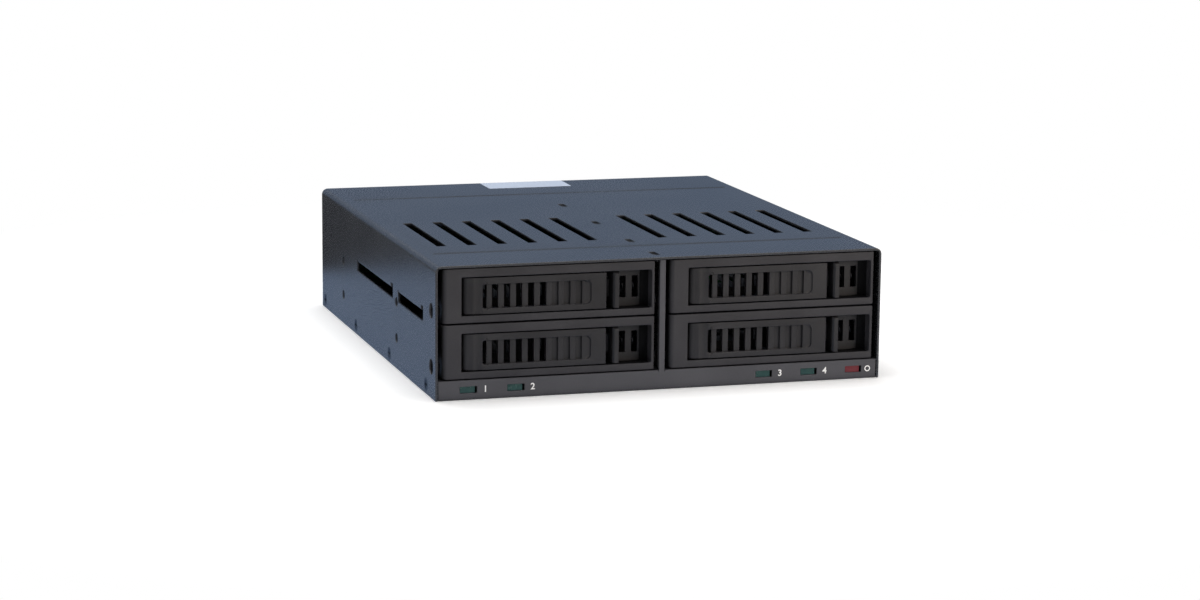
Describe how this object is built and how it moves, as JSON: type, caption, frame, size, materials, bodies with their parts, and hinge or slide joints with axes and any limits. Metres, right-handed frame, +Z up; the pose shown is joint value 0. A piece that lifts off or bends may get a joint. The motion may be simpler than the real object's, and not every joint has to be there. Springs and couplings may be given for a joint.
{
  "type": "hot swap drive cage",
  "caption": "Half-height bay cage of bent black sheet with stacked sliding drive trays, each with a vented swing lever and a spring latch, a backplane and rear fans.",
  "frame": {"origin": "middle of the underside of the cage", "axes": "+X to the right across the front, +Y from the tray fronts into the depth, +Z up"},
  "size_m": [0.146, 0.166, 0.042],
  "materials": {
    "powder_coat": "fine satin black powder coat over bent steel sheet",
    "tray_paint": "matt black paint over folded sheet steel",
    "front_plastic": "finely spark-eroded black ABS",
    "lever_plastic": "smooth matt black ABS",
    "pin_steel": "ground steel pin",
    "spring_steel": "plain spring wire",
    "lamp_lens": "translucent green light pipe",
    "alarm_lens": "translucent red light pipe",
    "circuit_board": "green solder mask over glass epoxy",
    "led_package": "moulded white lamp package",
    "flat_cable": "grey flat cable jacket",
    "connector_plastic": "moulded black connector body",
    "screw_steel": "black oxide steel screw",
    "fan_plastic": "moulded black fan plastic"
  },
  "bodies": {
    "cage": {"outer_shell": "powder_coat", "base_pan": "powder_coat", "rear_panel": "powder_coat", "centre_divider": "powder_coat", "front_bezel": "front_plastic", "drive_lamp_lenses": "lamp_lens", "alarm_lamp_lens": "alarm_lens", "backplane_board": "circuit_board", "indicator_board": "circuit_board", "indicator_leds": "led_package", "indicator_cable": "flat_cable", "drive_socket_1": "connector_plastic", "drive_socket_2": "connector_plastic", "drive_socket_3": "connector_plastic", "drive_socket_4": "connector_plastic", "data_port_1": "connector_plastic", "data_port_2": "connector_plastic", "data_port_3": "connector_plastic", "data_port_4": "connector_plastic", "power_inlet_1": "connector_plastic", "power_inlet_2": "connector_plastic", "side_cover_screws": "screw_steel", "backplane_screws": "screw_steel", "fan_screws": "screw_steel", "fan_frame_left": "fan_plastic", "fan_frame_right": "fan_plastic"},
    "tray_1": {"tray_body_1": "tray_paint", "tray_front_1": "front_plastic", "lever_pin_1": "pin_steel", "latch_spring_1": "spring_steel"},
    "lever_arm_1": {"lever_1": "lever_plastic"},
    "latch_plate_1": {"latch_1": "lever_plastic"},
    "tray_2": {"tray_body_2": "tray_paint", "tray_front_2": "front_plastic", "lever_pin_2": "pin_steel", "latch_spring_2": "spring_steel"},
    "lever_arm_2": {"lever_2": "lever_plastic"},
    "latch_plate_2": {"latch_2": "lever_plastic"},
    "tray_3": {"tray_body_3": "tray_paint", "tray_front_3": "front_plastic", "lever_pin_3": "pin_steel", "latch_spring_3": "spring_steel"},
    "lever_arm_3": {"lever_3": "lever_plastic"},
    "latch_plate_3": {"latch_3": "lever_plastic"},
    "tray_4": {"tray_body_4": "tray_paint", "tray_front_4": "front_plastic", "lever_pin_4": "pin_steel", "latch_spring_4": "spring_steel"},
    "lever_arm_4": {"lever_4": "lever_plastic"},
    "latch_plate_4": {"latch_4": "lever_plastic"},
    "rotor_left": {"fan_rotor_left": "fan_plastic"},
    "rotor_right": {"fan_rotor_right": "fan_plastic"}
  },
  "joints": [
    {"name": "tray_slide_upper_left", "type": "slide", "parent": "cage", "child": "tray_1", "axis": [0, -1, 0], "range_m": [0, 0.115]},
    {"name": "lever_hinge_upper_left", "type": "hinge", "parent": "tray_1", "child": "lever_arm_1", "pos_m": [-0.06207, -0.07927, 0.0321], "axis": [0, 0, -1], "range_deg": [0, 65]},
    {"name": "latch_slide_upper_left", "type": "slide", "parent": "tray_1", "child": "latch_plate_1", "axis": [1, 0, 0], "range_m": [0, 0.0018], "stiffness_N_per_m": 220, "deforming": ["latch_spring_1"]},
    {"name": "tray_slide_lower_left", "type": "slide", "parent": "cage", "child": "tray_2", "axis": [0, -1, 0], "range_m": [0, 0.115]},
    {"name": "lever_hinge_lower_left", "type": "hinge", "parent": "tray_2", "child": "lever_arm_2", "pos_m": [-0.06207, -0.07927, 0.0146], "axis": [0, 0, -1], "range_deg": [0, 65]},
    {"name": "latch_slide_lower_left", "type": "slide", "parent": "tray_2", "child": "latch_plate_2", "axis": [1, 0, 0], "range_m": [0, 0.0018], "stiffness_N_per_m": 220, "deforming": ["latch_spring_2"]},
    {"name": "tray_slide_upper_right", "type": "slide", "parent": "cage", "child": "tray_3", "axis": [0, -1, 0], "range_m": [0, 0.115]},
    {"name": "lever_hinge_upper_right", "type": "hinge", "parent": "tray_3", "child": "lever_arm_3", "pos_m": [0.01107, -0.07927, 0.0321], "axis": [0, 0, -1], "range_deg": [0, 65]},
    {"name": "latch_slide_upper_right", "type": "slide", "parent": "tray_3", "child": "latch_plate_3", "axis": [1, 0, 0], "range_m": [0, 0.0018], "stiffness_N_per_m": 220, "deforming": ["latch_spring_3"]},
    {"name": "tray_slide_lower_right", "type": "slide", "parent": "cage", "child": "tray_4", "axis": [0, -1, 0], "range_m": [0, 0.115]},
    {"name": "lever_hinge_lower_right", "type": "hinge", "parent": "tray_4", "child": "lever_arm_4", "pos_m": [0.01107, -0.07927, 0.0146], "axis": [0, 0, -1], "range_deg": [0, 65]},
    {"name": "latch_slide_lower_right", "type": "slide", "parent": "tray_4", "child": "latch_plate_4", "axis": [1, 0, 0], "range_m": [0, 0.0018], "stiffness_N_per_m": 220, "deforming": ["latch_spring_4"]},
    {"name": "fan_spin_left", "type": "hinge", "parent": "cage", "child": "rotor_left", "pos_m": [-0.0506, 0.07018, 0.021], "axis": [0, 1, 0], "continuous": true},
    {"name": "fan_spin_right", "type": "hinge", "parent": "cage", "child": "rotor_right", "pos_m": [0.0506, 0.07018, 0.021], "axis": [0, 1, 0], "continuous": true}
  ]
}
